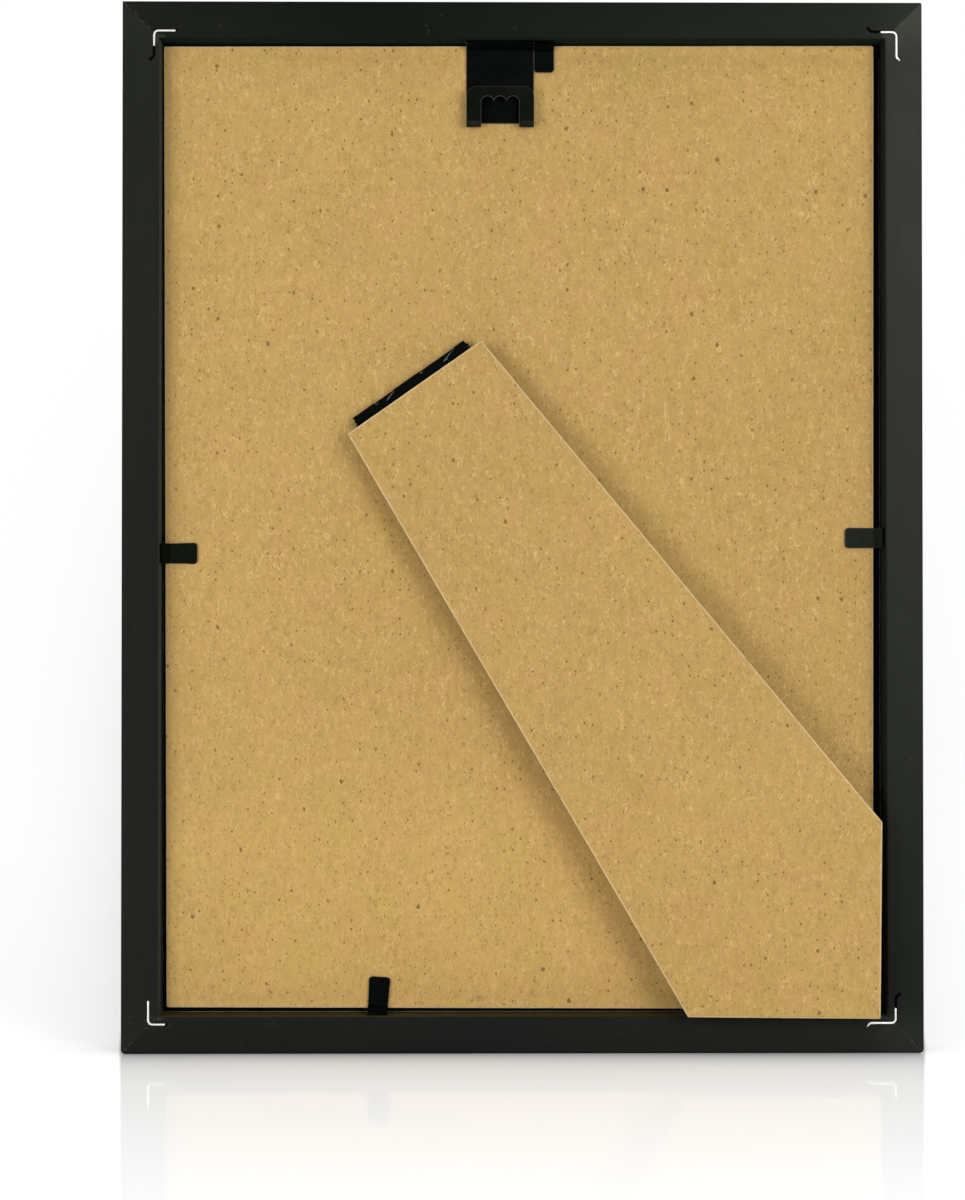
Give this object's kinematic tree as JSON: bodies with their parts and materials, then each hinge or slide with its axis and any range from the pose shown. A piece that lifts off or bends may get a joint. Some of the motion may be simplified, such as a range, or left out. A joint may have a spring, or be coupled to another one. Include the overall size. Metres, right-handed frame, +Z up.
{
  "type": "easel back photo frame",
  "caption": "Wood photo frame with mitred rails, glass, a hardboard back held by bend-up tabs, a sawtooth wall hanger and a hinged easel leg for portrait or landscape.",
  "frame": {"origin": "middle of the frame's bottom face, at half its depth", "axes": "+X to the right as seen from the picture side, +Y out of the back where the leg is, +Z up"},
  "size_m": [0.1988, 0.0219, 0.261],
  "materials": {
    "black_rail": "satin black foil",
    "nail_steel": "bright",
    "clear_glass": "clear",
    "photo_card": "matte",
    "hardboard": "raw, matte",
    "black_steel": "satin",
    "pin_steel": "dull"
  },
  "bodies": {
    "frame": {"top_rail": "black_rail", "bottom_rail": "black_rail", "left_rail": "black_rail", "right_rail": "black_rail", "corner_v_nails": "nail_steel", "glass_pane": "clear_glass", "photo_insert": "photo_card", "backing_board": "hardboard", "hinge_board_leaf": "black_steel", "hinge_pin": "pin_steel", "board_rivets": "pin_steel", "left_tab_root": "black_steel", "right_tab_root": "black_steel", "top_tab_root": "black_steel", "bottom_tab_root": "black_steel", "hanger_root": "black_steel"},
    "leg": {"easel_leg": "hardboard", "hinge_leg_leaf": "black_steel"},
    "left_tab_blade": {"left_tab": "black_steel"},
    "right_tab_blade": {"right_tab": "black_steel"},
    "top_tab_blade": {"top_tab": "black_steel"},
    "bottom_tab_blade": {"bottom_tab": "black_steel"},
    "hanger": {"sawtooth_hanger": "black_steel"}
  },
  "joints": [
    {"name": "easel_leg_hinge", "type": "hinge", "parent": "frame", "child": "leg", "pos_m": [0.02742, 0.0036, 0.1657], "axis": [0.8227, 0, -0.5684], "range_deg": [-2, 28]},
    {"name": "left_tab_bend", "type": "hinge", "parent": "frame", "child": "left_tab_blade", "pos_m": [-0.0896, 0.00505, 0.1278], "axis": [0, 0, 1], "range_deg": [0, 100]},
    {"name": "right_tab_bend", "type": "hinge", "parent": "frame", "child": "right_tab_blade", "pos_m": [0.0896, 0.00505, 0.1239], "axis": [0, 0, -1], "range_deg": [0, 100]},
    {"name": "top_tab_bend", "type": "hinge", "parent": "frame", "child": "top_tab_blade", "pos_m": [-0.0056, 0.00505, 0.2512], "axis": [1, 0, 0], "range_deg": [0, 100]},
    {"name": "bottom_tab_bend", "type": "hinge", "parent": "frame", "child": "bottom_tab_blade", "pos_m": [0.03606, 0.00505, 0.0098], "axis": [-0.9981, 0, -0.061], "range_deg": [0, 100]},
    {"name": "hanger_bend", "type": "hinge", "parent": "frame", "child": "hanger", "pos_m": [0.00555, 0.00505, 0.2512], "axis": [1, 0, 0], "range_deg": [0, 90]}
  ]
}
